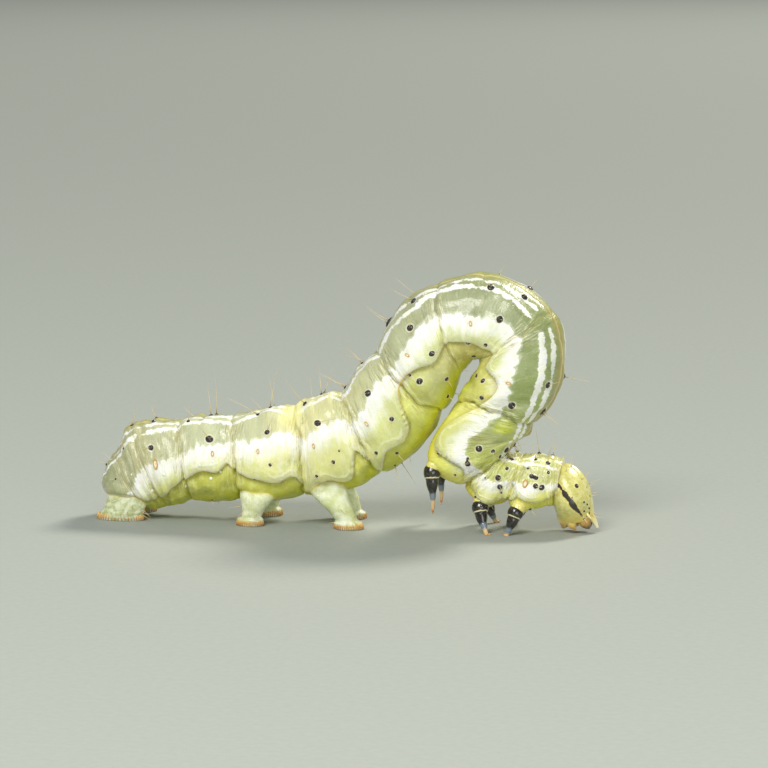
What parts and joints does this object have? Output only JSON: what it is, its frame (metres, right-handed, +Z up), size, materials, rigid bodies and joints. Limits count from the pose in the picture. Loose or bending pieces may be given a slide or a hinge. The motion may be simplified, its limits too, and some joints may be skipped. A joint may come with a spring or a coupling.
{
  "type": "golden twin-spot moth larva",
  "caption": "Still, life-size model of a pale green looping moth larva, its body arched high between its fleshy hind legs and its black walking legs.",
  "frame": {"origin": "middle of the bounding box, on the floor that the soles stand on", "axes": "+X from the tail to the head, +Z up, -Y to the animal's right side"},
  "size_m": [0.0183, 0.0036, 0.0093],
  "materials": {
    "skin": "soft translucent skin with white bands, clear green between them and black spots",
    "leg_horn": "glossy black horn with pale joints and brown claws",
    "head_horn": "glossy yellow horn with a black side stripe and spots",
    "jaw_horn": "glossy brown horn",
    "hair": "fine tan bristles"
  },
  "bodies": {
    "root": {"abdomen_10": "skin", "abdomen_9": "skin", "abdomen_8": "skin", "abdomen_7": "skin", "abdomen_6": "skin", "abdomen_5": "skin", "abdomen_4": "skin", "abdomen_3": "skin", "abdomen_2": "skin", "abdomen_1": "skin", "thorax_3": "skin", "thorax_2": "skin", "thorax_1": "skin", "clasper_right": "skin", "clasper_left": "skin", "proleg_6_right": "skin", "proleg_6_left": "skin", "proleg_5_right": "skin", "proleg_5_left": "skin", "leg_3_right": "leg_horn", "leg_3_left": "leg_horn", "leg_2_right": "leg_horn", "leg_2_left": "leg_horn", "leg_1_right": "leg_horn", "leg_1_left": "leg_horn", "head": "head_horn", "chin": "head_horn", "jaw_right": "jaw_horn", "jaw_left": "jaw_horn"}
  },
  "joints": []
}
